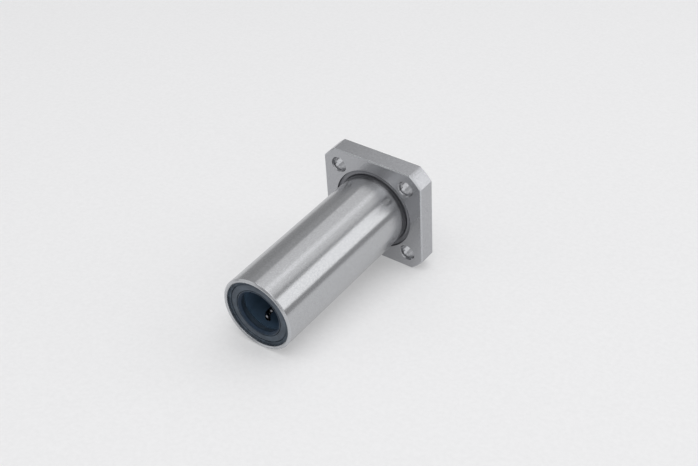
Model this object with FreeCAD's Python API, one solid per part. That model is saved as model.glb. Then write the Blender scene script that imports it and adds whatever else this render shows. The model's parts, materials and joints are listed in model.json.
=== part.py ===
import FreeCAD, Part

# Linear ball bushing, long type with a square flange, for a ground shaft.
#
# Frame: the bushing's axis lies along Y. The origin is on the axis in the plane of the flange's inner face, which
# seats on the housing. The nose end points to -Y, the flange lies on +Y, and its flats are level and upright.
# A station is a distance from the origin along the axis towards the nose. An angle is measured in the XZ plane
# from +X towards +Z, which is anticlockwise when the bushing is seen from its nose.

import math
import os

V = FreeCAD.Vector

# ---------------------------------------------------------------- driving dimensions, mm and degrees
SHAFT_DIAMETER = 13.0
BALL_DIAMETER = 2.381            # 3/32 inch ball
TOTAL_LENGTH = 61.0

FLANGE_WIDTH = 34.0
FLANGE_THICKNESS = 6.0
FLANGE_CORNER_DIAMETER = 43.0    # the square's corners are turned off to this circle
FLANGE_EDGE_BREAK = 0.35
BOLT_CIRCLE_DIAMETER = 33.0
BOLT_HOLE_DIAMETER = 4.5
BOLT_HOLE_EDGE_BREAK = 0.3
BOLT_HEAD_DIAMETER = 7.5
BOLT_HEAD_DEPTH = 4.1
BOLT_ANGLES = (45, 135, 225, 315)
RELIEF_WIDTH = 1.6               # ring groove in the flange's inner face, round the sleeve
RELIEF_DEPTH = 0.9

SLEEVE_WALL = 1.2095             # outside the return lanes
NOSE_CHAMFER = 0.5
MOUTH_CHAMFER = 0.3

RING_RECESS = 0.9                # end face to retaining ring
RING_THICKNESS = 1.0
RING_GROOVE_DEPTH = 0.35
RING_RADIAL_WIDTH = 1.2
RING_GAP_ANGLE = 16.0            # opening of the sprung ring
RING_GAP_CENTRE = 20.0

SEAL_THICKNESS = 1.6             # behind the retaining ring
SEAL_HUB_SET_BACK = 0.95         # end face to the hub's face
SEAL_HUB_WIDTH = 2.35            # radial width of the raised hub
SEAL_HUB_CHAMFER = 0.4
SEAL_LIP_NIP = 0.05              # how much smaller than the shaft the lip is, on the radius
SEAL_LIP_WIDTH = 0.8
SEAL_LIP_GROOVE_WIDTH = 0.4
SEAL_LIP_GROOVE_DEPTH = 0.45
SEAL_THROAT = 0.6                # radial clearance behind the lip
INSERT_THICKNESS = 0.4
INSERT_COVER = 0.4               # rubber over the insert's face and round its rim
INSERT_BACK_COVER = 0.25         # rubber behind the insert's rim

CIRCUITS = 4
CIRCUIT_START_ANGLE = 67.0       # first loaded row
TURN_BALLS = 3
RETURN_LIFT = 1.3095             # how much further out the return row lies than the loaded row
LAND_WIDTH = 2.2                 # hardened land that the loaded balls roll under

CAGE_BORE_STEP = 0.2             # cage bore over the shaft, on the radius
CAGE_END_WALL = 1.0
CAGE_WINDOW_WIDTH = 1.2
SPACER_LEAST_LENGTH = 1.5
SPACER_BORE_STEP = 0.9

# ---------------------------------------------------------------- named clearances, mm
BALL_GAP = 0.024                 # between neighbouring balls on a turn
RACE_GAP = 0.01                  # ball to hardened land
LANE_CLEARANCE = 0.1             # ball to cage, and return ball to sleeve
CAGE_CLEARANCE = 0.08            # cage to sleeve
LAND_CLEARANCE = 0.15            # cage to hardened land
SEAT_STEP = 0.1                  # seal seat over the sleeve's cavity, on the radius
SEAT_CLEARANCE = 0.02            # seal to its seat
RING_CLEARANCE = 0.05            # retaining ring in its groove
STACK_GAP = 0.05                 # between neighbours along the axis

# ---------------------------------------------------------------- derived dimensions
SHAFT_R = SHAFT_DIAMETER / 2
BALL_R = BALL_DIAMETER / 2
LOAD_R = SHAFT_R + BALL_R
LAND_R = LOAD_R + BALL_R + RACE_GAP
RETURN_R = LOAD_R + RETURN_LIFT
CAVITY_R = RETURN_R + BALL_R + LANE_CLEARANCE
SLEEVE_R = CAVITY_R + SLEEVE_WALL
SEAT_R = CAVITY_R + SEAT_STEP
RING_GROOVE_R = SEAT_R + RING_GROOVE_DEPTH

REAR_END = -FLANGE_THICKNESS
NOSE_END = TOTAL_LENGTH - FLANGE_THICKNESS
SEAL_FACE_DEPTH = RING_RECESS + RING_THICKNESS + RING_CLEARANCE
STACK_DEPTH = SEAL_FACE_DEPTH + SEAL_THICKNESS + STACK_GAP

TURN_R = (BALL_DIAMETER + BALL_GAP) / (2 * math.sin(math.pi / (2 * TURN_BALLS)))
PITCH = math.pi * TURN_R / TURN_BALLS
RETURN_ANGLE = math.degrees(math.acos((LOAD_R ** 2 + RETURN_R ** 2 - (2 * TURN_R) ** 2) / (2 * LOAD_R * RETURN_R)))
LANE_WIDTH = BALL_DIAMETER + 2 * LANE_CLEARANCE
CAGE_BORE_R = SHAFT_R + CAGE_BORE_STEP
CAGE_R = CAVITY_R - CAGE_CLEARANCE
CAGE_END_LENGTH = TURN_R + LANE_WIDTH / 2 + CAGE_END_WALL

STACK_LENGTH = TOTAL_LENGTH - 2 * STACK_DEPTH
CAGE_ROOM = (STACK_LENGTH - SPACER_LEAST_LENGTH - 2 * STACK_GAP) / 2
ROW_BALLS = int((CAGE_ROOM - 2 * CAGE_END_LENGTH) / PITCH)
ROW_LENGTH = ROW_BALLS * PITCH
CAGE_LENGTH = ROW_LENGTH + 2 * CAGE_END_LENGTH
SPACER_LENGTH = STACK_LENGTH - 2 * CAGE_LENGTH - 2 * STACK_GAP

# Stations at which each cage, and each cage's straight rows, begin.
CAGE_START = {
    "front": NOSE_END - STACK_DEPTH - CAGE_LENGTH,
    "rear": REAR_END + STACK_DEPTH,
}
ROW_START = {end: start + CAGE_END_LENGTH for end, start in CAGE_START.items()}

TO_NOSE = V(0, -1, 0)
OVERCUT = 1.0                    # how far a cutting solid runs past what it cuts
LEVEL = 0.001                    # an edge that spans less than this along the axis lies in one plane


def at(station, radius=0.0, angle=0.0):
    """A point at a station, a radius and an angle about the bushing's axis."""
    turn = math.radians(angle)
    return V(radius * math.cos(turn), -station, radius * math.sin(turn))


def disc(radius, start, end):
    """A solid cylinder on the axis between two stations."""
    return Part.makeCylinder(radius, end - start, at(start), TO_NOSE)


def tube(outer, inner, start, end):
    """A tube on the axis between two stations."""
    return disc(outer, start, end).cut(disc(inner, start - OVERCUT, end + OVERCUT))


def turned(outline):
    """A solid turned about the axis from a closed outline of (station, radius) corners."""
    corners = [at(station, radius) for station, radius in outline]
    face = Part.Face(Part.makePolygon(corners + corners[:1]))
    return face.revolve(V(0, 0, 0), TO_NOSE, 360)


def from_end(end, depth):
    """The station at a depth below the front (nose) or rear (flange) end face."""
    return NOSE_END - depth if end == "front" else REAR_END + depth


def turned_from_end(end, outline):
    """As turned, with each corner given as (depth below the end face, radius)."""
    return turned([(from_end(end, depth), radius) for depth, radius in outline])


def one(shape):
    """The shape with its split faces joined up, as a single solid."""
    clean = shape.removeSplitter()
    return clean.Solids[0] if len(clean.Solids) == 1 else clean


# ---------------------------------------------------------------- sleeve and flange
def flange_plate():
    """The square flange, with turned corners and broken edges, before any hole is cut."""
    corner = V(-FLANGE_WIDTH / 2, 0, -FLANGE_WIDTH / 2)
    plate = Part.makeBox(FLANGE_WIDTH, FLANGE_THICKNESS, FLANGE_WIDTH, corner)
    plate = plate.common(disc(FLANGE_CORNER_DIAMETER / 2, REAR_END - OVERCUT, OVERCUT))
    rims = [edge for edge in plate.Edges if edge.BoundBox.YLength < LEVEL]
    return plate.makeChamfer(FLANGE_EDGE_BREAK, rims)


def bolt_hole(angle):
    """One through hole with its head's counterbore in the outer face and a small break at the inner face."""
    radius = BOLT_CIRCLE_DIAMETER / 2
    hole_r = BOLT_HOLE_DIAMETER / 2
    through = Part.makeCylinder(hole_r, FLANGE_THICKNESS + 2 * OVERCUT, at(REAR_END - OVERCUT, radius, angle), TO_NOSE)
    head = Part.makeCylinder(BOLT_HEAD_DIAMETER / 2, BOLT_HEAD_DEPTH + OVERCUT,
                             at(REAR_END - OVERCUT, radius, angle), TO_NOSE)
    edge = Part.makeCone(hole_r, hole_r + 2 * BOLT_HOLE_EDGE_BREAK, 2 * BOLT_HOLE_EDGE_BREAK,
                         at(-BOLT_HOLE_EDGE_BREAK, radius, angle), TO_NOSE)
    return through.fuse([head, edge])


def end_seat(end):
    """The space cut in one end for the seal, the retaining ring's groove and the mouth's chamfer."""
    return turned_from_end(end, [
        (-OVERCUT, 0),
        (-OVERCUT, SEAT_R + MOUTH_CHAMFER + OVERCUT),
        (MOUTH_CHAMFER, SEAT_R),
        (RING_RECESS, SEAT_R),
        (RING_RECESS, RING_GROOVE_R),
        (SEAL_FACE_DEPTH, RING_GROOVE_R),
        (SEAL_FACE_DEPTH, SEAT_R),
        (STACK_DEPTH, SEAT_R),
        (STACK_DEPTH, 0),
    ])


def hardened_land(end, circuit):
    """The rib under which one loaded row rolls. Its inner face is the hardened track."""
    row = ROW_START[end]
    reach = SLEEVE_R - SLEEVE_WALL / 2
    rib = Part.makeBox(reach, ROW_LENGTH, LAND_WIDTH, V(0, -row - ROW_LENGTH, -LAND_WIDTH / 2))
    rib.rotate(V(0, 0, 0), TO_NOSE, circuit_angle(circuit))
    return rib.common(tube(reach, LAND_R, row, row + ROW_LENGTH))


def flanged_sleeve():
    """The outer sleeve and its flange, turned and ground from one piece."""
    body = turned([
        (REAR_END / 2, 0),
        (REAR_END / 2, SLEEVE_R),
        (NOSE_END - NOSE_CHAMFER, SLEEVE_R),
        (NOSE_END, SLEEVE_R - NOSE_CHAMFER),
        (NOSE_END, 0),
    ])
    relief = tube(SLEEVE_R + RELIEF_WIDTH, SLEEVE_R, -RELIEF_DEPTH, OVERCUT)
    plate = flange_plate().cut([relief] + [bolt_hole(angle) for angle in BOLT_ANGLES])
    cavity = disc(CAVITY_R, REAR_END + STACK_DEPTH, NOSE_END - STACK_DEPTH)
    hollow = body.fuse(plate).cut([cavity, end_seat("front"), end_seat("rear")])
    lands = [hardened_land(end, circuit) for end in CAGE_START for circuit in range(CIRCUITS)]
    return one(hollow.fuse(lands))


# ---------------------------------------------------------------- end closures
def insert_outline():
    """The seal's steel insert, an angle ring, as (depth, radius) corners."""
    face = SEAL_FACE_DEPTH + INSERT_COVER
    rim_r = SEAT_R - INSERT_COVER
    back = SEAL_FACE_DEPTH + SEAL_THICKNESS - INSERT_BACK_COVER
    bore_r = SHAFT_R + SEAL_HUB_WIDTH / 2
    return [
        (face, bore_r),
        (face, rim_r),
        (back, rim_r),
        (back, rim_r - INSERT_THICKNESS),
        (face + INSERT_THICKNESS, rim_r - INSERT_THICKNESS),
        (face + INSERT_THICKNESS, bore_r),
    ]


def seal(end):
    """Rubber wiper seal: a flat ring behind the retaining ring, a raised hub and a lip round the shaft."""
    lip_r = SHAFT_R - SEAL_LIP_NIP
    groove_r = lip_r + SEAL_LIP_WIDTH
    hub_r = SHAFT_R + SEAL_HUB_WIDTH
    hub_depth = SEAL_HUB_SET_BACK
    back = SEAL_FACE_DEPTH + SEAL_THICKNESS
    rubber = turned_from_end(end, [
        (hub_depth, lip_r),
        (hub_depth, groove_r),
        (hub_depth + SEAL_LIP_GROOVE_DEPTH, groove_r),
        (hub_depth + SEAL_LIP_GROOVE_DEPTH, groove_r + SEAL_LIP_GROOVE_WIDTH),
        (hub_depth, groove_r + SEAL_LIP_GROOVE_WIDTH),
        (hub_depth, hub_r - SEAL_HUB_CHAMFER),
        (hub_depth + SEAL_HUB_CHAMFER, hub_r),
        (SEAL_FACE_DEPTH, hub_r),
        (SEAL_FACE_DEPTH, SEAT_R - SEAT_CLEARANCE),
        (back, SEAT_R - SEAT_CLEARANCE),
        (back, SHAFT_R + SEAL_THROAT),
        (SEAL_FACE_DEPTH, SHAFT_R + SEAL_THROAT),
        (hub_depth + SEAL_LIP_WIDTH, lip_r),
    ])
    return rubber.cut(turned_from_end(end, insert_outline()))


def seal_insert(end):
    """Stamped steel ring with a turned-in rim that stiffens the seal."""
    return turned_from_end(end, insert_outline())


def retaining_ring(end):
    """Sprung ring with one gap, lying in its groove in the sleeve's mouth."""
    outer = RING_GROOVE_R - RING_CLEARANCE
    start, stop = sorted((from_end(end, RING_RECESS + RING_CLEARANCE / 2),
                          from_end(end, RING_RECESS + RING_CLEARANCE / 2 + RING_THICKNESS)))
    ring = tube(outer, outer - RING_RADIAL_WIDTH, start, stop)
    face = Part.Face(Part.makePolygon([
        at(start - OVERCUT),
        at(start - OVERCUT, 2 * outer, -RING_GAP_ANGLE / 2),
        at(start - OVERCUT, 2 * outer, RING_GAP_ANGLE / 2),
        at(start - OVERCUT),
    ]))
    gap = face.extrude(TO_NOSE * (stop - start + 2 * OVERCUT))
    gap.rotate(V(0, 0, 0), TO_NOSE, RING_GAP_CENTRE)
    return ring.cut(gap)


def cage_spacer():
    """Plain ring that keeps the two cages apart."""
    start = CAGE_START["rear"] + CAGE_LENGTH + STACK_GAP
    return tube(CAGE_R, SHAFT_R + SPACER_BORE_STEP, start, start + SPACER_LENGTH)


# ---------------------------------------------------------------- ball circuits
def circuit_angle(circuit):
    """The angle of one circuit's loaded row."""
    return CIRCUIT_START_ANGLE + circuit * 360 / CIRCUITS


class Circuit:
    """One flat racetrack of balls: a loaded row, a return row and two half-circle turns between them."""

    def __init__(self, end, index):
        angle = circuit_angle(index)
        self.start = ROW_START[end]
        self.loaded = at(0, LOAD_R, angle)
        self.returning = at(0, RETURN_R, angle + RETURN_ANGLE)
        self.across = (self.returning - self.loaded).normalize()
        self.outward = self.across.cross(TO_NOSE).normalize()
        self.middle = (self.loaded + self.returning) * 0.5

    def centre(self, side):
        """The centre of the turn on the nose or flange side."""
        return self.middle + at(self.start + (ROW_LENGTH if side == "nose" else 0))

    def row(self, line):
        """The balls of one straight row, each half a pitch clear of the turns."""
        stations = [self.start + (i + 0.5) * PITCH for i in range(ROW_BALLS)]
        return Part.makeCompound([Part.makeSphere(BALL_R, line + at(station)) for station in stations])

    def turn(self, side):
        """The balls of one turn, evenly spaced round its half circle."""
        ahead = TO_NOSE if side == "nose" else -TO_NOSE
        balls = []
        for i in range(TURN_BALLS):
            swing = math.pi * (i + 0.5) / TURN_BALLS
            place = self.centre(side) - self.across * (TURN_R * math.cos(swing)) + ahead * (TURN_R * math.sin(swing))
            balls.append(Part.makeSphere(BALL_R, place))
        return Part.makeCompound(balls)

    def channel(self):
        """The cutter for the lane: a round floor that clears the balls, and upright sides open to the outside."""
        first = self.loaded + at(self.start)
        half, top = self.across * (LANE_WIDTH / 2), self.outward * CAGE_R
        floor = Part.Arc(first - half, first - self.outward * (LANE_WIDTH / 2), first + half).toShape()
        sides = Part.makePolygon([first + half, first + half + top, first - half + top, first - half])
        section = Part.Face(Part.Wire([floor] + sides.Edges))
        return Part.Wire(self.path()).makePipe(section)

    def window(self):
        """The cutter for the narrow window that opens the floor to the shaft. The return row's floor keeps none."""
        loaded_row, nose_turn, return_row, flange_turn = self.path()
        first = self.loaded + at(self.start)
        half, depth = self.across * (CAGE_WINDOW_WIDTH / 2), self.outward * (LOAD_R / 2)
        corners = [first - half, first + half, first + half - depth, first - half - depth]
        section = Part.Face(Part.makePolygon(corners + corners[:1]))
        sweeps = [Part.Wire([edge]).makePipe(section) for edge in (loaded_row, nose_turn, flange_turn)]
        return sweeps[0].multiFuse(sweeps[1:]).removeSplitter()

    def path(self):
        """The line that the balls' centres follow: loaded row, nose turn, return row and flange turn."""
        near, far = at(self.start), at(self.start + ROW_LENGTH)
        nose = self.centre("nose") + TO_NOSE * TURN_R
        flange = self.centre("flange") - TO_NOSE * TURN_R
        return [
            Part.makeLine(self.loaded + near, self.loaded + far),
            Part.Arc(self.loaded + far, nose, self.returning + far).toShape(),
            Part.makeLine(self.returning + far, self.returning + near),
            Part.Arc(self.returning + near, flange, self.loaded + near).toShape(),
        ]


def land_notch(end, circuit):
    """The slot in the cage that lets it pass over one hardened land."""
    width = LAND_WIDTH + 2 * LAND_CLEARANCE
    start = CAGE_START[end] - OVERCUT
    length = CAGE_LENGTH + 2 * OVERCUT
    notch = Part.makeBox(CAGE_R, length, width, V(LAND_R - LAND_CLEARANCE, -start - length, -width / 2))
    notch.rotate(V(0, 0, 0), TO_NOSE, circuit_angle(circuit))
    return notch


def cage(end):
    """Moulded ball retainer with all its lanes."""
    start = CAGE_START[end]
    body = tube(CAGE_R, CAGE_BORE_R, start, start + CAGE_LENGTH)
    cutters = []
    for index in range(CIRCUITS):
        circuit = Circuit(end, index)
        cutters += [circuit.channel(), circuit.window(), land_notch(end, index)]
    return body.cut(cutters).Solids[0]


def ball_groups(end):
    """Every group of balls of one cage, by node name."""
    groups = {}
    for index in range(CIRCUITS):
        circuit = Circuit(end, index)
        name = f"{end}_circuit_{index + 1}"
        groups[f"{name}_loaded_balls"] = circuit.row(circuit.loaded)
        groups[f"{name}_return_balls"] = circuit.row(circuit.returning)
        groups[f"{name}_nose_turn_balls"] = circuit.turn("nose")
        groups[f"{name}_flange_turn_balls"] = circuit.turn("flange")
    return groups


def all_parts():
    """Every sub-part of the bushing, by node name."""
    parts = {"flanged_sleeve": flanged_sleeve(), "cage_spacer": cage_spacer()}
    for end in CAGE_START:
        parts[f"{end}_retaining_ring"] = retaining_ring(end)
        parts[f"{end}_seal"] = seal(end)
        parts[f"{end}_seal_insert"] = seal_insert(end)
        parts[f"{end}_cage"] = cage(end)
        parts.update(ball_groups(end))
    return parts


os.makedirs("parts", exist_ok=True)
for node, shape in all_parts().items():
    shape.exportStep(f"parts/{node}.step")
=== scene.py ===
"""Linear ball bushing, long type with a square flange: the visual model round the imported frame.

The bushing's axis lies along Y, its nose end points to -Y, and the origin is on the axis in the plane of the
flange's inner face. Sizes are in millimetres until a mesh, the camera or a lamp is made from them.
"""

import json
import logging
import math
from dataclasses import dataclass, field
from enum import Enum, IntEnum
from typing import Iterable, Optional, Sequence

import bmesh
import bpy
from mathutils import Matrix, Vector
from mathutils.geometry import delaunay_2d_cdt


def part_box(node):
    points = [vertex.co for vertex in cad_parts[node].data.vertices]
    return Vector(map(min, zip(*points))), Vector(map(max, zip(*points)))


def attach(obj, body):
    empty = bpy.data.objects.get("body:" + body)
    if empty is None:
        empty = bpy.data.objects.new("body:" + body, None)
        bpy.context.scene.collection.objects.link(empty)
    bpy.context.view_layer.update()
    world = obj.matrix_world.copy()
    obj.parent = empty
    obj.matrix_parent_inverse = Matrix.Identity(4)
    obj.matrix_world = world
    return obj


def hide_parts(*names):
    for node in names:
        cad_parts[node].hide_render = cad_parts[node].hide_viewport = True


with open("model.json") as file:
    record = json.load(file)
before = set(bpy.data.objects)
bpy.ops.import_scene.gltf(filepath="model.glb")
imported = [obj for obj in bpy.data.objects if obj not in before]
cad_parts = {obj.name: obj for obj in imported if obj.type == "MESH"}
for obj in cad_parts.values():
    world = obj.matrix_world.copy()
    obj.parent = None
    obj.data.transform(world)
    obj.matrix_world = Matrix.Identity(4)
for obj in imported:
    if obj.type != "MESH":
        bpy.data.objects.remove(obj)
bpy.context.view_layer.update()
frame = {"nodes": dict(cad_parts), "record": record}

LOG = logging.getLogger("ball_bushing")
MM = 0.001
ROOT_BODY = "bushing"
CIRCUITS = 4
ROUND = 256                # segments round a turned surface
ROUNDING_LIMIT = 0.45      # a rounded corner takes at most this share of the sides next to it
FLAT_FACE_WEIGHT = 80      # how strongly large flat faces straighten the shading of the roundings beside them
NOISE_SPAN = (0.3, 0.7)    # a noise pattern's level seldom leaves this span
OCTAVE_SHARE = 0.55        # how strong each finer octave of a noise pattern is beside the one before

Pair = tuple[float, float]
Triple = tuple[float, float, float]
Loop = list[bmesh.types.BMVert]
Tree = bpy.types.NodeTree
Socket = bpy.types.NodeSocket


# ---------------------------------------------------------------- small helpers
def linear(hex_colour: str) -> tuple[float, float, float, float]:
    """Turns an sRGB hex colour into linear light.

    Args:
        hex_colour: six hex digits, such as "8c9096".

    Returns:
        Linear red, green, blue and an alpha of one.
    """
    channels = [int(hex_colour[i:i + 2], 16) / 255 for i in (0, 2, 4)]
    red, green, blue = (c / 12.92 if c <= 0.04045 else ((c + 0.055) / 1.055) ** 2.4 for c in channels)
    return red, green, blue, 1.0


def add(tree: Tree, kind: str, settings: Optional[dict] = None,
        links: Optional[dict] = None) -> bpy.types.Node:
    """Adds a node with its settings and links.

    Args:
        tree: the node tree that gets the node.
        kind: the node's type name.
        settings: node attributes, or values for its inputs by name or index.
        links: for inputs by name or index, the output socket that feeds them.

    Returns:
        The new node.
    """
    node = tree.nodes.new(kind)
    for key, value in (settings or {}).items():
        if isinstance(key, str) and hasattr(node, key):
            setattr(node, key, value)
        else:
            node.inputs[key].default_value = value
    for key, socket in (links or {}).items():
        tree.links.new(socket, node.inputs[key])
    return node


class End(Enum):
    """The bushing's two ends, each with its record prefix."""

    NOSE = "front"
    FLANGE = "rear"


@dataclass(frozen=True)
class Corner:
    """A corner of an outline, with the radius that takes off its edge."""

    u: float
    v: float
    radius: float = 0.0
    slot: int = 0


def softened(corners: Sequence[Corner], closed: bool, steps: int = 3) -> tuple[list[Pair], list[int]]:
    """Rounds an outline's corners.

    Args:
        corners: the outline's corners in order.
        closed: whether the last corner runs on to the first.
        steps: segments in each rounded corner.

    Returns:
        The outline's points, and for each point the slot of the surface that starts there.
    """
    points: list[Pair] = []
    slots: list[int] = []
    count = len(corners)
    for i, corner in enumerate(corners):
        here = Vector((corner.u, corner.v))
        inner = closed or 0 < i < count - 1
        if not inner or corner.radius <= 0:
            points.append((here.x, here.y))
            slots.append(corner.slot)
            continue
        back = corners[i - 1]
        ahead = corners[(i + 1) % count]
        to_back, to_ahead = Vector((back.u, back.v)) - here, Vector((ahead.u, ahead.v)) - here
        half = to_back.angle(to_ahead) / 2
        longest = ROUNDING_LIMIT * min(to_back.length, to_ahead.length)
        reach = min(corner.radius / math.tan(half), longest)
        start = here + to_back.normalized() * reach
        stop = here + to_ahead.normalized() * reach
        for step in range(steps + 1):
            t = step / steps
            spot = start * (1 - t) ** 2 + here * (2 * t * (1 - t)) + stop * t ** 2
            points.append((spot.x, spot.y))
            slots.append(corner.slot if step == steps else corners[i - 1].slot)
    return points, slots


class Shell:
    """A mesh under construction from loops of points and strips between them."""

    def __init__(self) -> None:
        """Starts an empty mesh."""
        self.mesh = bmesh.new()

    def loop(self, points: Iterable[Sequence[float]]) -> Loop:
        """Adds a loop of points, given in millimetres, and returns its vertices."""
        return [self.mesh.verts.new(Vector(point) * MM) for point in points]

    def strip(self, one: Loop, other: Loop, slot: int = 0, closed: bool = True) -> None:
        """Joins two loops of equal length with four-sided faces.

        Args:
            one: the first loop.
            other: the second loop.
            slot: the material slot of the faces.
            closed: whether the strip runs all the way round.
        """
        count = len(one)
        for i in range(count if closed else count - 1):
            j = (i + 1) % count
            face = self.mesh.faces.new((one[i], one[j], other[j], other[i]))
            face.material_index = slot

    def strips(self, loops: Sequence[Loop], slots: Sequence[int], closed: bool = True,
               around: bool = False) -> None:
        """Joins a row of loops, each to the next.

        Args:
            loops: the loops in order.
            slots: the material slot of the strip that starts at each loop.
            closed: whether each loop is closed.
            around: whether the last loop joins the first.
        """
        for i in range(len(loops) if around else len(loops) - 1):
            self.strip(loops[i], loops[(i + 1) % len(loops)], slots[i], closed)

    def flat(self, outline: Loop, holes: Sequence[Loop], slot: int) -> None:
        """Fills a level face, square to the axis, inside an outline and outside some round holes.

        Args:
            outline: the outer loop.
            holes: the loops of the round holes.
            slot: the material slot of the faces.
        """
        verts = outline + [vert for hole in holes for vert in hole]
        flat_points = [Vector((vert.co.x, vert.co.z)) for vert in verts]
        rounds = []
        for hole in holes:
            middle = sum((vert.co for vert in hole), Vector()) / len(hole)
            rounds.append((Vector((middle.x, middle.z)), (hole[0].co - middle).length))
        triangles = delaunay_2d_cdt(flat_points, [], [], 0, 1e-9)[2]
        for triangle in triangles:
            centre = sum((flat_points[i] for i in triangle), Vector((0, 0))) / 3
            # A triangle inside a hole has its centre well inside, so the hole may be tested a hair small.
            if all((centre - middle).length > radius * 0.999 for middle, radius in rounds):
                face = self.mesh.faces.new([verts[i] for i in triangle])
                face.material_index = slot

    def finish(self, name: str, materials: Sequence[bpy.types.Material],
               crease: float = 35.0) -> bpy.types.Object:
        """Turns the loops into an object with smooth shading and crisp creases.

        Args:
            name: the piece's name.
            materials: one material for each slot.
            crease: the angle in degrees above which an edge stays crisp.

        Returns:
            The piece, linked to the scene.
        """
        bmesh.ops.recalc_face_normals(self.mesh, faces=self.mesh.faces)
        data = bpy.data.meshes.new(name)
        self.mesh.to_mesh(data)
        self.mesh.free()
        data.shade_smooth()
        data.set_sharp_from_angle(angle=math.radians(crease))
        for material in materials:
            data.materials.append(material)
        piece = bpy.data.objects.new(name, data)
        bpy.context.scene.collection.objects.link(piece)
        weighted = piece.modifiers.new("weighted normals", "WEIGHTED_NORMAL")
        weighted.keep_sharp = True
        weighted.weight = FLAT_FACE_WEIGHT
        return piece


def ring_points(radius: float, y: float, centre: Pair = (0.0, 0.0), count: int = ROUND) -> list[Triple]:
    """Points round a circle that is square to the axis.

    Args:
        radius: the circle's radius.
        y: its place along the axis.
        centre: its centre in X and Z.
        count: how many points it has.

    Returns:
        The points in order.
    """
    angles = [2 * math.pi * i / count for i in range(count)]
    return [(centre[0] + radius * math.cos(a), y, centre[1] + radius * math.sin(a)) for a in angles]


def turned(shell: Shell, corners: Sequence[Corner]) -> None:
    """Adds a closed ring turned about the axis from an outline whose corners are (y, radius)."""
    points, slots = softened(corners, closed=True)
    shell.strips([shell.loop(ring_points(r, y)) for y, r in points], slots, around=True)


def mount(name: str) -> dict:
    """The record's mount of that name."""
    mounts = frame["record"]["mounts"]
    return next(entry for entry in mounts if entry["name"] == name)


def box_mm(node: str) -> tuple[Vector, Vector]:
    """A node's lowest and highest corners in millimetres."""
    low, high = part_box(node)
    return low / MM, high / MM


# ---------------------------------------------------------------- finishes
@dataclass(frozen=True)
class Finish:
    """A surface finish. Each kind says how its colour, roughness and relief vary.

    A kind's gloss holds the lowest and the highest share of the roughness that its patterns give.
    """

    name: str
    colour: str
    roughness: float

    def made(self) -> bpy.types.Material:
        """The finish's material, made the first time it is asked for.

        Returns:
            The material, the same one each time.
        """
        found = bpy.data.materials.get(self.name)
        if found is None:
            found = bpy.data.materials.new(self.name)
            found.use_nodes = True
            tree = found.node_tree
            tree.nodes.clear()
            shader = add(tree, "ShaderNodeBsdfPrincipled", self.values(), self.patterns(tree))
            add(tree, "ShaderNodeOutputMaterial", links={"Surface": shader.outputs["BSDF"]})
        return found

    def values(self) -> dict:
        """The shader's inputs that are the same all over."""
        raise NotImplementedError

    def patterns(self, tree: Tree) -> dict[str, Socket]:
        """Adds the patterns, each under the shader input that it feeds."""
        raise NotImplementedError

    def place(self, tree: Tree, scale: Sequence[float] = (1, 1, 1)) -> Socket:
        """The point on the piece in metres, stretched by a scale along each axis."""
        spot = add(tree, "ShaderNodeTexCoord").outputs["Object"]
        return add(tree, "ShaderNodeMapping", {"Scale": scale}, {"Vector": spot}).outputs["Vector"]

    def grain(self, tree: Tree, size: float, stretch: Sequence[float] = (1, 1, 1),
              detail: float = 2.0) -> Socket:
        """A noise pattern from its real size.

        Args:
            tree: the material's nodes.
            size: the width of one grain in millimetres, where the stretch is one.
            stretch: how much finer than that the grain is along each axis.
            detail: octaves of finer grain.

        Returns:
            The pattern's level, between zero and one.
        """
        settings = {"Scale": 1 / (size * MM), "Detail": detail, "Roughness": OCTAVE_SHARE}
        noise = add(tree, "ShaderNodeTexNoise", settings, {"Vector": self.place(tree, stretch)})
        return noise.outputs["Fac"]

    def between(self, tree: Tree, level: Socket, low: float, high: float) -> Socket:
        """A pattern's level spread between a low and a high value."""
        settings = {"From Min": NOISE_SPAN[0], "From Max": NOISE_SPAN[1], "To Min": low, "To Max": high}
        return add(tree, "ShaderNodeMapRange", settings, {"Value": level}).outputs["Result"]

    def varied(self, tree: Tree, level: Socket, shares: Pair) -> Socket:
        """The finish's roughness, varied with a pattern's level between two shares of itself."""
        return self.between(tree, level, self.roughness * shares[0], self.roughness * shares[1])

    def tint(self, tree: Tree, level: Socket, dark: str, light: str) -> Socket:
        """A colour that goes from dark to light with a pattern's level."""
        ends = {"data_type": "RGBA", 6: linear(dark), 7: linear(light)}
        return add(tree, "ShaderNodeMix", ends, {0: self.between(tree, level, 0.0, 1.0)}).outputs[2]

    def relief(self, tree: Tree, level: Socket, height: float) -> Socket:
        """Bump of a real height in millimetres."""
        settings = {"Distance": height * MM, "Strength": 1.0}
        return add(tree, "ShaderNodeBump", settings, {"Height": level}).outputs["Normal"]


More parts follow.
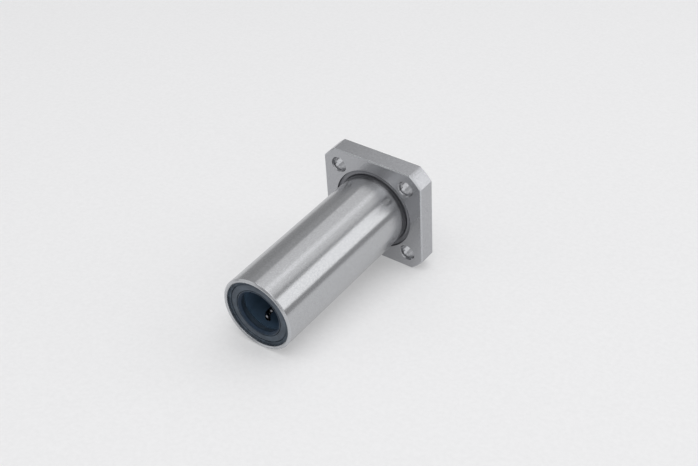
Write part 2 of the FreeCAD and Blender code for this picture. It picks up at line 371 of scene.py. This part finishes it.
@dataclass(frozen=True)
class GroundSteel(Finish):
    """Bearing steel, ground to size. Fine marks run round it and draw lights out lengthways."""

    mark_width: float = 0.11      # real marks are about 0.01 mm apart; drawn coarser so that they show
    mark_length: float = 5.0
    mark_height: float = 0.00008
    speckle: float = 0.45         # the stone's torn spots are about 0.05 mm; drawn coarser so that they show
    dark: str = "b3b4b6"
    spread: float = 0.8           # how much further light spreads along the axis than round it
    gloss: Pair = (0.95, 1.05)

    def values(self) -> dict:
        """A bright metal that spreads light a quarter turn from its marks, along the axis."""
        return {"Metallic": 1.0, "Anisotropic": self.spread, "Anisotropic Rotation": 0.25}

    def patterns(self, tree: Tree) -> dict[str, Socket]:
        """Marks round the axis and fine speckle.

        Args:
            tree: the material's nodes.

        Returns:
            The sockets, each under the name of the shader input that it feeds.
        """
        marks = self.grain(tree, self.mark_length, (1, self.mark_length / self.mark_width, 1))
        speckle = self.grain(tree, self.speckle)
        tangent = add(tree, "ShaderNodeTangent", {"direction_type": "RADIAL", "axis": "Y"})
        return {"Base Color": self.tint(tree, speckle, self.dark, self.colour),
                "Roughness": self.varied(tree, marks, self.gloss),
                "Normal": self.relief(tree, marks, self.mark_height),
                "Tangent": tangent.outputs["Tangent"]}


@dataclass(frozen=True)
class SatinSteel(Finish):
    """Hardened steel left as turned and tumbled. Its fine even grain keeps it duller than ground steel."""

    dark: str = "a7a8ab"
    grain_size: float = 0.45      # tumbling leaves dents of 0.05 to 0.1 mm; drawn coarser so that they show
    grain_height: float = 0.004
    cloud_size: float = 5.0
    gloss: Pair = (0.9, 1.1)

    def values(self) -> dict:
        """A bare metal."""
        return {"Metallic": 1.0}

    def patterns(self, tree: Tree) -> dict[str, Socket]:
        """An even fine grain and faint clouding of the gloss.

        Args:
            tree: the material's nodes.

        Returns:
            The sockets, each under the name of the shader input that it feeds.
        """
        fine = self.grain(tree, self.grain_size)
        clouds = self.grain(tree, self.cloud_size, detail=4.0)
        return {"Base Color": self.tint(tree, fine, self.dark, self.colour),
                "Roughness": self.varied(tree, clouds, self.gloss),
                "Normal": self.relief(tree, fine, self.grain_height)}


@dataclass(frozen=True)
class TurnedSteel(Finish):
    """Steel cut on a lathe. The tool leaves fine rings about the axis, which make light shimmer round it."""

    feed: float = 0.12            # real feed marks are 0.05 to 0.1 mm apart; drawn a little coarser
    groove_height: float = 0.0003
    patch_size: float = 2.0
    dark: str = "a4a5a6"
    gloss: Pair = (0.8, 1.2)

    def values(self) -> dict:
        """A bare metal."""
        return {"Metallic": 1.0}

    def rings(self, tree: Tree) -> Socket:
        """Rings about the axis, which follow one another both outwards and along it.

        Args:
            tree: the material's nodes.

        Returns:
            The rings' level, between zero and one.
        """
        parts = add(tree, "ShaderNodeSeparateXYZ", links={"Vector": self.place(tree)}).outputs
        square = add(tree, "ShaderNodeCombineXYZ", links={"X": parts["X"], "Z": parts["Z"]}).outputs["Vector"]
        radius = add(tree, "ShaderNodeVectorMath", {"operation": "LENGTH"}, {0: square}).outputs["Value"]
        reach = add(tree, "ShaderNodeMath", {"operation": "ADD"}, {0: radius, 1: parts["Y"]}).outputs["Value"]
        settings = {"noise_dimensions": "1D", "Scale": 1 / (self.feed * MM), "Detail": 1.0}
        return add(tree, "ShaderNodeTexNoise", settings, {"W": reach}).outputs["Fac"]

    def patterns(self, tree: Tree) -> dict[str, Socket]:
        """The tool's rings, and gloss that changes from patch to patch.

        Args:
            tree: the material's nodes.

        Returns:
            The sockets, each under the name of the shader input that it feeds.
        """
        rings = self.rings(tree)
        patches = self.grain(tree, self.patch_size)
        return {"Base Color": self.tint(tree, rings, self.dark, self.colour),
                "Roughness": self.varied(tree, patches, self.gloss),
                "Normal": self.relief(tree, rings, self.groove_height)}


@dataclass(frozen=True)
class PolishedSteel(Finish):
    """Lapped chrome steel, as on bearing balls. It mirrors its surroundings with only a breath of haze."""

    haze: float = 0.5
    dark: str = "7c7d81"
    gloss: Pair = (0.6, 1.6)

    def values(self) -> dict:
        """A bare metal."""
        return {"Metallic": 1.0}

    def patterns(self, tree: Tree) -> dict[str, Socket]:
        """Haze that dulls the mirror in places.

        Args:
            tree: the material's nodes.

        Returns:
            The sockets, each under the name of the shader input that it feeds.
        """
        haze = self.grain(tree, self.haze)
        return {"Base Color": self.tint(tree, haze, self.dark, self.colour),
                "Roughness": self.varied(tree, haze, self.gloss)}


@dataclass(frozen=True)
class PhosphatedSteel(Finish):
    """Spring steel with a slate-grey phosphate coat. Tiny crystals make it dull, with paler worn spots."""

    crystal: float = 0.12         # real crystals are about 0.02 mm; drawn coarser so that they show
    crystal_height: float = 0.004
    wear_size: float = 1.6
    worn: str = "55606b"
    bareness: float = 0.7
    gloss: Pair = (0.8, 1.2)

    def values(self) -> dict:
        """A thin coat, through which some of the metal shows."""
        return {"Metallic": self.bareness}

    def patterns(self, tree: Tree) -> dict[str, Socket]:
        """A crystalline grain and worn spots.

        Args:
            tree: the material's nodes.

        Returns:
            The sockets, each under the name of the shader input that it feeds.
        """
        crystals = self.grain(tree, self.crystal)
        wear = self.grain(tree, self.wear_size, detail=4.0)
        return {"Base Color": self.tint(tree, wear, self.colour, self.worn),
                "Roughness": self.varied(tree, crystals, self.gloss),
                "Normal": self.relief(tree, crystals, self.crystal_height)}


@dataclass(frozen=True)
class MouldedRubber(Finish):
    """Nitrile rubber moulded on steel. A faint bloom greys it, and a fine texture softens its gloss."""

    bloom: str = "45525f"
    ior: float = 1.52
    bloom_size: float = 2.4
    texture: float = 0.2          # the mould's spark texture is about 0.05 mm; drawn coarser so that it shows
    texture_height: float = 0.004
    gloss: Pair = (0.85, 1.15)

    def values(self) -> dict:
        """An elastomer's weak mirror."""
        return {"IOR": self.ior}

    def patterns(self, tree: Tree) -> dict[str, Socket]:
        """Bloom over a fine texture.

        Args:
            tree: the material's nodes.

        Returns:
            The sockets, each under the name of the shader input that it feeds.
        """
        fine = self.grain(tree, self.texture)
        bloom = self.grain(tree, self.bloom_size, detail=4.0)
        return {"Base Color": self.tint(tree, bloom, self.colour, self.bloom),
                "Roughness": self.varied(tree, fine, self.gloss),
                "Normal": self.relief(tree, fine, self.texture_height)}


@dataclass(frozen=True)
class MouldedResin(Finish):
    """Injection-moulded acetal. Flow clouds and a slight ripple sit under a smooth, waxy skin."""

    flow: str = "4b6076"
    ior: float = 1.48
    flow_size: float = 3.0
    flow_stretch: Triple = (1, 0.4, 1)
    ripple_size: float = 0.5
    ripple_height: float = 0.004
    gloss: Pair = (0.85, 1.2)

    def values(self) -> dict:
        """A plastic's weak mirror."""
        return {"IOR": self.ior}

    def patterns(self, tree: Tree) -> dict[str, Socket]:
        """Flow clouds, drawn out along the axis, and ripple.

        Args:
            tree: the material's nodes.

        Returns:
            The sockets, each under the name of the shader input that it feeds.
        """
        clouds = self.grain(tree, self.flow_size, self.flow_stretch, detail=3.0)
        ripple = self.grain(tree, self.ripple_size)
        return {"Base Color": self.tint(tree, clouds, self.colour, self.flow),
                "Roughness": self.varied(tree, clouds, self.gloss),
                "Normal": self.relief(tree, ripple, self.ripple_height)}


@dataclass(frozen=True)
class OpalAcrylic(Finish):
    """Opal acrylic on a light table, sanded matt. Its faint glow from below keeps the shadows pale."""

    glow: float = 0.27
    sheen: float = 0.2
    frosting: float = 1.2
    dark: str = "c1c1c2"

    def values(self) -> dict:
        """A matt sheet, lit from below."""
        return {"Roughness": self.roughness, "Specular IOR Level": self.sheen,
                "Emission Color": linear("ffffff"), "Emission Strength": self.glow}

    def patterns(self, tree: Tree) -> dict[str, Socket]:
        """Faint frosting."""
        frosting = self.grain(tree, self.frosting, detail=3.0)
        return {"Base Color": self.tint(tree, frosting, self.dark, self.colour)}


# Ground all over: lights run along it in long, soft-edged bands over a fine sparkle.
BARREL = GroundSteel("bearing_steel_centreless_ground", "bebfc1", 0.23)
# Turned, then tumbled: an even, finely dappled grey, duller than the ground sleeve.
FLANGE = SatinSteel("bearing_steel_turned_and_tumbled", "b7b8bb", 0.25)
# Faced and chamfered last, so it is the brightest steel; on the chamfers and edge breaks its brightness is
# also a painted highlight, pale lines along the edges.
CUT_STEEL_AND_EDGE_HIGHLIGHT = TurnedSteel("bearing_steel_lathe_faced_edge_highlight", "c8cacd", 0.26, dark="b4b6b9")
# Bored and drilled: fine tool marks break the light in the holes into streaks.
BORED = TurnedSteel("bearing_steel_bored", "b4b5b8", 0.15, dark="737477")
# Painted shade: the groove round the sleeve in the flange's face gets a darker steel colour that stands in
# for the shade inside it, a dark, soft band round the sleeve.
SCALED = SatinSteel("bearing_steel_painted_recess_shade", "88898d", 0.38, dark="727377")
# Ground raceways: brighter and smoother than the sleeve.
LANDS = GroundSteel("bearing_steel_race_ground", "c2c2c3", 0.2)
# Lapped chrome steel, its colour darkened as painted shade for the balls deep in the bore: dark little
# mirrors with one small glint each.
BALLS = PolishedSteel("chrome_steel_painted_bore_shade", "86878b", 0.20)
# Phosphated spring wire: slate grey and quite dull.
RINGS = PhosphatedSteel("spring_steel_phosphated", "39424b", 0.50)
# Pressed from strip: plain grey steel with faint lines.
INSERTS = TurnedSteel("carbon_steel_stamped", "9a9c9f", 0.35)
# Moulded rubber: slate blue with a soft bloom.
SEALS = MouldedRubber("nitrile_rubber_moulded", "2c3742", 0.46)
# The same rubber where oil wets it: darker, bluer and with hardly any bloom.
OILED_LIPS = MouldedRubber("nitrile_rubber_oiled", "1a2a3b", 0.42, bloom="213447", ior=1.33)
# Moulded resin: dark blue and waxy, so that the bore reads as deep blue instead of black.
CAGES = MouldedResin("acetal_resin_moulded", "3a4d5f", 0.38)
# Sanded acrylic on a light table: pale, with pale shadows.
FLOOR = OpalAcrylic("acrylic_opal_sanded", "c6c6c7", 0.9)


# ---------------------------------------------------------------- sub-assemblies
class Steel(IntEnum):
    """The material slots of the steel body."""

    GROUND = 0
    SATIN = 1
    # the groove round the sleeve: darker steel as painted shade
    FACED = 2
    BORED = 3
    SCALED = 4


@dataclass
class FlangedSleeve:
    """The ground sleeve and its square flange, which are one piece of steel."""

    nose_chamfer: float = 0.5
    mouth_chamfer: float = 0.3
    mouth_radius: float = 10.39         # the bore that holds the seals and retaining rings
    cavity_radius: float = 10.2905      # the bore that holds the cages
    groove_radius: float = 10.74        # the bottom of a retaining ring's groove
    groove_depths: Pair = (0.9, 1.95)   # where that groove starts and stops behind the end face
    seat_depth: float = 3.6             # where the wider bore ends behind the end face
    relief_width: float = 1.6           # the groove round the sleeve in the flange's inner face
    relief_depth: float = 0.9
    corner_radius: float = 21.5         # the flange's corners are turned about the axis
    edge_break: float = 0.35
    hole_break: float = 0.3
    head_radius: float = 3.75           # the counterbores that take the bolts' heads
    head_depth: float = 4.1
    head_root: float = 0.15
    edge: float = 0.08
    groove_lip: float = 0.04
    groove_root: float = 0.06
    relief_root: float = 0.6
    nose_rounding: Pair = (0.12, 0.1)
    flange_rounding: float = 0.15
    corner_rounding: float = 0.2
    corner_steps: int = 12
    hole_segments: int = 64
    land_half_width: float = 1.1
    land_gap: float = 0.01
    land_root: float = 0.02
    land_steps: int = 4
    sleeve_radius: float = field(init=False)
    nose: float = field(init=False)
    back: float = field(init=False)
    half_width: float = field(init=False)

    def __post_init__(self) -> None:
        """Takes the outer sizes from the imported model."""
        low, high = box_mm("flanged_sleeve")
        self.nose, self.back, self.half_width = low.y, high.y, high.x
        self.sleeve_radius = mount("sleeve_journal")["dims"]["r_mm"]

    def bore_outline(self) -> list[Corner]:
        """The turned surfaces from the flange's inner face, round the nose and through to its outer face.

        Returns:
            The corners, each given as its place along the axis and its radius.
        """
        rim = self.mouth_radius + self.mouth_chamfer
        groove_out = self.sleeve_radius + self.relief_width
        outline = [
            # The groove's walls and floor take the darker steel, a painted shade for the groove.
            Corner(0, groove_out, slot=Steel.SCALED),
            Corner(self.relief_depth, groove_out, self.relief_root, Steel.SCALED),
            Corner(self.relief_depth, self.sleeve_radius, self.relief_root, Steel.GROUND),
            Corner(self.nose + self.nose_chamfer, self.sleeve_radius, self.nose_rounding[0], Steel.FACED),
            Corner(self.nose, self.sleeve_radius - self.nose_chamfer, self.nose_rounding[1], Steel.FACED),
            Corner(self.nose, rim, self.edge, Steel.FACED),
        ]
        outline += self.mouth(self.nose, 1, Steel.FACED, Steel.BORED)
        outline += reversed(self.mouth(self.back, -1, Steel.BORED, Steel.FACED))
        return outline + [Corner(self.back, rim, slot=Steel.FACED)]

    def mouth(self, face: float, inward: int, first: int, second: int) -> list[Corner]:
        """The seat that holds one end's seal and retaining ring.

        Args:
            face: the end face's place along the axis.
            inward: the sign of the direction into the sleeve.
            first: the slot of the mouth's wall.
            second: the slot of what lies behind it.

        Returns:
            The seat's corners, from the end face inwards.
        """
        start, stop = (face + inward * depth for depth in self.groove_depths)
        seat = face + inward * self.seat_depth
        return [
            Corner(face + inward * self.mouth_chamfer, self.mouth_radius, self.edge, first),
            Corner(start, self.mouth_radius, self.groove_lip, second),
            Corner(start, self.groove_radius, self.groove_root, second),
            Corner(stop, self.groove_radius, self.groove_root, second),
            Corner(stop, self.mouth_radius, self.groove_lip, second),
            Corner(seat, self.mouth_radius, 0, second),
            Corner(seat, self.cavity_radius, 0, second),
        ]

    def plate_points(self, y: float, inset: float) -> list[Triple]:
        """The flange's outline at a station, drawn in by an inset.

        Args:
            y: the station along the axis.
            inset: how far the outline is drawn in, in millimetres.

        Returns:
            The outline's points in order.
        """
        half, reach = self.half_width - inset, self.corner_radius - inset
        lean = math.acos(half / reach)
        sweep = math.pi / 2 - 2 * lean
        corners = []
        for quarter in range(4):
            for step in range(self.corner_steps + 1):
                angle = quarter * math.pi / 2 + lean + sweep * step / self.corner_steps
                rounding = self.corner_rounding if step in (0, self.corner_steps) else 0.0
                corners.append(Corner(reach * math.cos(angle), reach * math.sin(angle), rounding))
        return [(x, y, z) for x, z in softened(corners, closed=True)[0]]

    def build(self) -> list[bpy.types.Object]:
        """Makes the steel body and its hardened lands.

        Returns:
            The body and the two sets of lands.
        """
        shell = Shell()
        points, slots = softened(self.bore_outline(), closed=False)
        bore = [shell.loop(ring_points(r, y)) for y, r in points]
        shell.strips(bore, slots)
        # The edge breaks take the brighter cut steel, a painted highlight along the flange's edges.
        sides = [
            Corner(0, self.edge_break, slot=Steel.FACED),
            Corner(self.edge_break, 0, self.flange_rounding, Steel.SATIN),
            Corner(self.back - self.edge_break, 0, self.flange_rounding, Steel.FACED),
            Corner(self.back, self.edge_break),
        ]
        points, slots = softened(sides, closed=False)
        rims = [shell.loop(self.plate_points(y, inset)) for y, inset in points]
        shell.strips(rims, slots)
        holes = [self.bolt_hole(shell, centre) for centre in self.hole_centres()]
        for side in (0, -1):
            shell.flat(rims[side], [bore[side]] + [hole[side] for hole in holes], Steel.SATIN)
        finishes = [finish.made() for finish in (BARREL, FLANGE, CUT_STEEL_AND_EDGE_HIGHLIGHT, BORED, SCALED)]
        body = shell.finish("flanged_sleeve_body", finishes)
        return [body] + [self.lands(end) for end in End]

    def hole_centres(self) -> list[Pair]:
        """The bolt holes' centres in X and Z."""
        reach = mount("flange_bolts")["dims"]["pcd_mm"] / 2 * math.sqrt(0.5)
        return [(x * reach, z * reach) for x in (-1, 1) for z in (-1, 1)]

    def bolt_hole(self, shell: Shell, centre: Pair) -> list[Loop]:
        """Adds one counterbored hole's walls.

        Args:
            shell: the body under construction.
            centre: the hole's centre in X and Z.

        Returns:
            The hole's loops, from the flange's inner face to its outer face.
        """
        radius = mount("flange_bolts")["dims"]["hole_r_mm"]
        step = self.back - self.head_depth
        outline = [
            Corner(0, radius + self.hole_break),
            Corner(self.hole_break, radius, self.edge),
            Corner(step, radius, self.edge),
            Corner(step, self.head_radius, self.head_root),
            Corner(self.back - self.edge, self.head_radius, self.groove_lip),
            Corner(self.back, self.head_radius + self.edge),
        ]
        points = softened(outline, closed=False)[0]
        loops = [shell.loop(ring_points(r, y, centre, self.hole_segments)) for y, r in points]
        shell.strips(loops, [Steel.BORED] * len(loops))
        return loops

    def lands(self, end: End) -> bpy.types.Object:
        """Makes the hardened ribs under which one end's loaded rows roll.

        Args:
            end: the end whose cage the lands belong to.

        Returns:
            The four lands as one piece.
        """
        shell = Shell()
        outer = self.cavity_radius + self.land_root
        steps = self.land_steps
        for index in range(CIRCUITS):
            low, high = box_mm(f"{end.value}_circuit_{index + 1}_loaded_balls")
            middle = (low + high) / 2
            angle = math.atan2(middle.z, middle.x)
            inner = math.hypot(middle.x, middle.z) + (high.x - low.x) / 2 + self.land_gap
            section = []
            for radius, way in ((inner, 1), (outer, -1)):
                swing = math.asin(self.land_half_width / radius)
                section += [(radius, angle + swing * way * step / steps) for step in range(-steps, steps + 1)]
            ends = [shell.loop([(r * math.cos(a), y, r * math.sin(a)) for r, a in section])
                    for y in (low.y, high.y)]
            shell.strip(ends[0], ends[1])
            for loop in ends:
                shell.mesh.faces.new(loop)
        return shell.finish(f"{end.value}_hardened_lands", [LANDS.made()])

    def dress(self, pieces: Sequence[bpy.types.Object]) -> None:
        """Puts the steel pieces on the bushing in place of the plain solid.

        Args:
            pieces: the body, and then the lands.
        """
        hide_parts("flanged_sleeve")
        for piece in pieces:
            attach(piece, ROOT_BODY)


@dataclass
class EndClosure:
    """One end's rubber seal with its steel insert, and the ring that retains them.

    The ring's tips are given as stations: a share of the way round it, and a share of its full thickness.
    """

    end: End
    shaft_nip: float = 0.25       # how far the lip reaches inside the shaft's radius
    throat_gap: float = 0.4       # how far the seal stays clear of the shaft behind its lip
    groove_depth: float = 0.35
    lip_width: float = 0.8        # from the lip's edge to the groove beside it
    lip_bevel: float = 0.62       # the slope from the lip's edge to its flat
    groove_width: float = 0.28
    hub_chamfer: float = 0.12
    hub_width: float = 2.87       # from the lip's edge to the hub's rim
    hub_foot: float = 9.42        # the radius at which the hub's side meets the recessed face
    hub_drop: float = 0.18        # how far the hub's front slopes back to its side
    face_depth: float = 1.0       # where the recessed face lies behind the retaining ring
    crisp: float = 0.06
    lip_edge: float = 0.08
    eased: float = 0.1
    groove_rounding: float = 0.12
    rounded: float = 0.15
    hub_rounding: float = 0.2
    foot_root: float = 0.02
    ring_width: float = 1.2
    ring_edge: float = 0.12
    ring_tip: tuple[Pair, ...] = ((0.0, 0.75), (0.0012, 0.93), (0.003, 1.0))
    gap_centre: float = 20.0      # degrees round the axis, as is the gap's angle
    gap_angle: float = 16.0
    segments: int = 180

    def outline(self) -> list[Corner]:
        """The seal's corners, from its lip outwards and back behind.

        Returns:
            The corners, each given as its place along the axis and its radius.
        """
        low, high = box_mm(f"{self.end.value}_seal")
        if self.end is End.NOSE:
            front, back, inward = low.y, high.y, 1
        else:
            front, back, inward = high.y, low.y, -1
        outer = high.x
        bore = mount("shaft_bore")["dims"]["r_mm"]
        lip, throat = bore - self.shaft_nip, bore + self.throat_gap
        hub = lip + self.hub_width
        face = front + inward * self.face_depth
        groove = front + inward * self.groove_depth
        groove_in = lip + self.lip_width
        groove_out = groove_in + self.groove_width
        moulded, oiled = 0, 1
        return [
            Corner(front + inward * self.lip_bevel, lip, self.lip_edge, oiled),
            Corner(front, lip + self.lip_bevel, self.crisp, moulded),
            Corner(front, groove_in, self.lip_edge, moulded),
            Corner(groove, groove_in, self.groove_rounding, moulded),
            Corner(groove, groove_out, self.groove_rounding, moulded),
            Corner(front, groove_out, self.eased, moulded),
            Corner(front, hub - self.hub_chamfer, self.hub_rounding, moulded),
            Corner(front + inward * self.hub_drop, self.hub_foot, self.crisp, moulded),
            Corner(face, self.hub_foot, self.foot_root, moulded),
            Corner(face, outer, self.rounded, moulded),
            Corner(back, outer, self.rounded, moulded),
            Corner(back, throat, self.eased, moulded),
            Corner(face, throat, self.eased, oiled),
            Corner(front + inward * self.lip_width, lip, self.eased, oiled),
        ]

    def ring(self) -> bpy.types.Object:
        """Makes the sprung ring, with softened edges and rounded ends at its gap.

        Returns:
            The ring.
        """
        low, high = box_mm(f"{self.end.value}_retaining_ring")
        outer, inner = high.x, high.x - self.ring_width
        corners = ((low.y, inner), (high.y, inner), (high.y, outer), (low.y, outer))
        section = [Corner(y, r, self.ring_edge) for y, r in corners]
        points = softened(section, closed=True)[0]
        mid_y, mid_r = (low.y + high.y) / 2, (inner + outer) / 2
        start = math.radians(self.gap_centre + self.gap_angle / 2)
        sweep = math.radians(360 - self.gap_angle)
        tip = self.ring_tip[-1][0]
        stops = list(self.ring_tip)
        stops += [(tip + (1 - 2 * tip) * i / self.segments, 1.0) for i in range(1, self.segments)]
        stops += [(1 - share, scale) for share, scale in reversed(self.ring_tip)]
        shell = Shell()
        loops = []
        for share, scale in stops:
            angle = start + sweep * share
            loop = [(mid_y + (y - mid_y) * scale, mid_r + (r - mid_r) * scale) for y, r in points]
            loops.append(shell.loop([(r * math.cos(angle), y, r * math.sin(angle)) for y, r in loop]))
        shell.strips(loops, [0] * len(loops))
        shell.mesh.faces.new(loops[0])
        shell.mesh.faces.new(loops[-1])
        return shell.finish(f"{self.end.value}_retaining_ring_sprung", [RINGS.made()])

    def build(self) -> list[bpy.types.Object]:
        """Makes the seal and the retaining ring.

        Returns:
            The seal and the ring, in that order.
        """
        shell = Shell()
        turned(shell, self.outline())
        finishes = [SEALS.made(), OILED_LIPS.made()]
        return [shell.finish(f"{self.end.value}_seal_moulded", finishes, crease=60.0), self.ring()]

    def dress(self, pieces: Sequence[bpy.types.Object]) -> None:
        """Puts the seal and ring in place of the plain solids, and finishes the insert.

        Args:
            pieces: the seal and the ring, in that order.
        """
        for piece, node, slot in zip(pieces, ("seal", "retaining_ring"), ("seal_rubber", "ring_steel")):
            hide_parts(f"{self.end.value}_{node}")
            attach(piece, ROOT_BODY)
        paint(f"{self.end.value}_seal_insert", INSERTS)


@dataclass
class BallCage:
    """One moulded cage with its four endless circuits of balls."""

    end: End
    groups: tuple[str, ...] = ("loaded", "return", "nose_turn", "flange_turn")

    def build(self) -> list[str]:
        """The names of the cage's nodes, which are all used as they are.

        Returns:
            The cage's name, and then those of its groups of balls.
        """
        names = [f"{self.end.value}_cage"]
        for index in range(CIRCUITS):
            names += [f"{self.end.value}_circuit_{index + 1}_{group}_balls" for group in self.groups]
        return names

    def dress(self, names: Sequence[str]) -> None:
        """Gives the cage its resin and the balls their polish."""
        for name in names:
            paint(name, CAGES if name.endswith("cage") else BALLS)


def paint(node: str, finish: Finish) -> None:
    """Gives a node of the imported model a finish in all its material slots.

    Args:
        node: the node's name.
        finish: the finish that it gets.
    """
    piece = frame["nodes"][node]
    for slot in piece.material_slots:
        slot.material = finish.made()


# ---------------------------------------------------------------- studio
def aimed(right: Vector, away: Vector, place: Vector) -> Matrix:
    """The matrix of a lamp or camera.

    Args:
        right: its own rightward direction.
        away: the direction opposite to the one it faces.
        place: its place in metres.

    Returns:
        The matrix, with the third direction at right angles to the other two.
    """
    matrix = Matrix((right, away.cross(right), away)).transposed().to_4x4()
    matrix.translation = place
    return matrix


@dataclass
class Panel:
    """A soft light panel, aimed at the object. Its width lies across the barrel.

    Its distance and size are in metres, and its radiance is what each point of it sends out.
    """

    name: str
    towards: Sequence[float]
    distance: float
    size: Pair
    radiance: float

    def build(self, target: Vector) -> bpy.types.Object:
        """Makes the lamp.

        Args:
            target: the point in metres that it faces.

        Returns:
            The lamp object.
        """
        data = bpy.data.lights.new(self.name, "AREA")
        data.shape = "RECTANGLE"
        data.size, data.size_y = self.size
        data.energy = self.radiance * math.pi * self.size[0] * self.size[1]
        lamp = bpy.data.objects.new(self.name, data)
        bpy.context.scene.collection.objects.link(lamp)
        away = Vector(self.towards).normalized()
        across = Vector((0, 1, 0)).cross(away).normalized()
        lamp.matrix_world = aimed(across, away, target + away * self.distance)
        lamp.visible_camera = False
        return lamp


@dataclass
class Studio:
    """The floor that the bushing lies on, the soft lights and the camera."""

    azimuth: float = 37.924       # the camera's turn, height and roll are in degrees
    elevation: float = 38.647
    roll: float = 3.749
    target: Sequence[float] = (3.835, -17.219, 4.235)
    distance: float = 350.06      # the camera's distance and its target are in millimetres
    lens: float = 63.785
    sensor: float = 36.0
    clip: Pair = (0.01, 20.0)     # metres
    lit_point: Triple = (0, -20, 0)
    lean: float = 0.616           # how much of a long panel's direction lies along the barrel
    floor_size: float = 3000.0    # millimetres
    floor_grid: int = 24
    ambient: Triple = (0.41, 0.41, 0.4141)

    def build(self) -> list[bpy.types.Object]:
        """Makes the floor, the lights, the surroundings and the camera.

        Returns:
            The floor, the camera and the lamps.
        """
        made = [self.floor(), self.camera()]
        made += [panel.build(Vector(self.lit_point) * MM) for panel in self.panels()]
        self.surroundings()
        return made

    def panels(self) -> list[Panel]:
        """The light panels. Round the barrel they show as long bands of light.

        Returns:
            The panels, those behind the flange first.
        """
        def cone(turn: float, way: int) -> Triple:
            """The direction at a turn round the barrel's axis, leaning along it behind or in front."""
            out = math.sqrt(1 - self.lean ** 2)
            return out * math.cos(math.radians(turn)), self.lean * way, out * math.sin(math.radians(turn))

        behind, ahead = 1, -1
        return [
            Panel("low_right_panel", cone(30, behind), 0.9, (0.49, 0.8), 1.13),
            Panel("overhead_panel", cone(91, behind), 0.9, (0.91, 0.9), 0.44),
            Panel("overhead_strip", cone(84, behind), 0.9, (0.18, 0.9), 0.30),
            Panel("high_left_panel", cone(132, behind), 0.9, (0.36, 0.9), 0.09),
            Panel("top_panel", (0.08, -0.12, 1.0), 0.9, (0.85, 0.75), 1.95),
            Panel("front_right_panel", cone(50, ahead), 1.0, (1.1, 0.5), 0.72),
            Panel("front_left_panel", cone(150, ahead), 1.0, (0.7, 0.7), 0.4),
        ]

    def floor(self) -> bpy.types.Object:
        """Makes the floor, on which the bushing rests on its flange's lower edge and the nose's rim.

        Returns:
            The floor.
        """
        sleeve = mount("sleeve_journal")["dims"]["r_mm"]
        low = box_mm("flanged_sleeve")[0]
        heel = Vector((0, FlangedSleeve.edge_break, low.z))
        toe = Vector((0, low.y + FlangedSleeve.nose_chamfer, -sleeve))
        fall = (toe - heel).normalized()
        side = Vector((1, 0, 0))
        half = self.floor_size / 2
        signs = ((-1, -1), (1, -1), (1, 1), (-1, 1))
        corners = [heel + side * (half * x) + fall * (half * y) for x, y in signs]
        shell = Shell()
        grid = self.floor_grid
        rows = []
        for i in range(grid + 1):
            start = corners[0].lerp(corners[3], i / grid)
            stop = corners[1].lerp(corners[2], i / grid)
            rows.append(shell.loop([start.lerp(stop, j / grid) for j in range(grid + 1)]))
        shell.strips(rows, [0] * len(rows), closed=False)
        board = shell.finish("studio_floor", [FLOOR.made()])
        return board

    def camera(self) -> bpy.types.Object:
        """Makes the camera and gives it to the scene.

        Returns:
            The camera.
        """
        azimuth, elevation, roll = (math.radians(a) for a in (self.azimuth, self.elevation, self.roll))
        level = Vector((math.sin(azimuth), -math.cos(azimuth), 0))
        away = level * math.cos(elevation) + Vector((0, 0, math.sin(elevation)))
        data = bpy.data.cameras.new("camera")
        data.lens = self.lens
        data.sensor_width = self.sensor
        data.clip_start, data.clip_end = self.clip
        camera = bpy.data.objects.new("camera", data)
        bpy.context.scene.collection.objects.link(camera)
        upright = (Vector((0, 0, 1)) - away * away.z).normalized()
        right = upright.cross(away)
        up = upright * math.cos(roll) + right * math.sin(roll)
        place = (Vector(self.target) + away * self.distance) * MM
        camera.matrix_world = aimed(up.cross(away), away, place)
        bpy.context.scene.camera = camera
        return camera

    def surroundings(self) -> None:
        """Lights the scene evenly from all round."""
        world = bpy.data.worlds.new("studio")
        world.use_nodes = True
        world.node_tree.nodes.clear()
        settings = {"Color": (*self.ambient, 1.0), "Strength": 1.0}
        shade = add(world.node_tree, "ShaderNodeBackground", settings)
        add(world.node_tree, "ShaderNodeOutputWorld", links={"Surface": shade.outputs["Background"]})
        bpy.context.scene.world = world
        bpy.context.scene.view_settings.view_transform = "Standard"


def main() -> None:
    """Builds the bushing's sub-assemblies in order, and then the studio."""
    logging.basicConfig(level=logging.INFO, format="%(name)s: %(message)s")
    assemblies = [FlangedSleeve()] + [EndClosure(end) for end in End] + [BallCage(end) for end in End]
    for assembly in assemblies:
        pieces = assembly.build()
        assembly.dress(pieces)
        for piece in pieces:
            LOG.info("%s made %s", type(assembly).__name__, piece if isinstance(piece, str) else piece.name)
    paint("cage_spacer", CAGES)
    for item in Studio().build():
        LOG.info("Studio made %s", item.name)


if __name__ == "__main__":
    main()
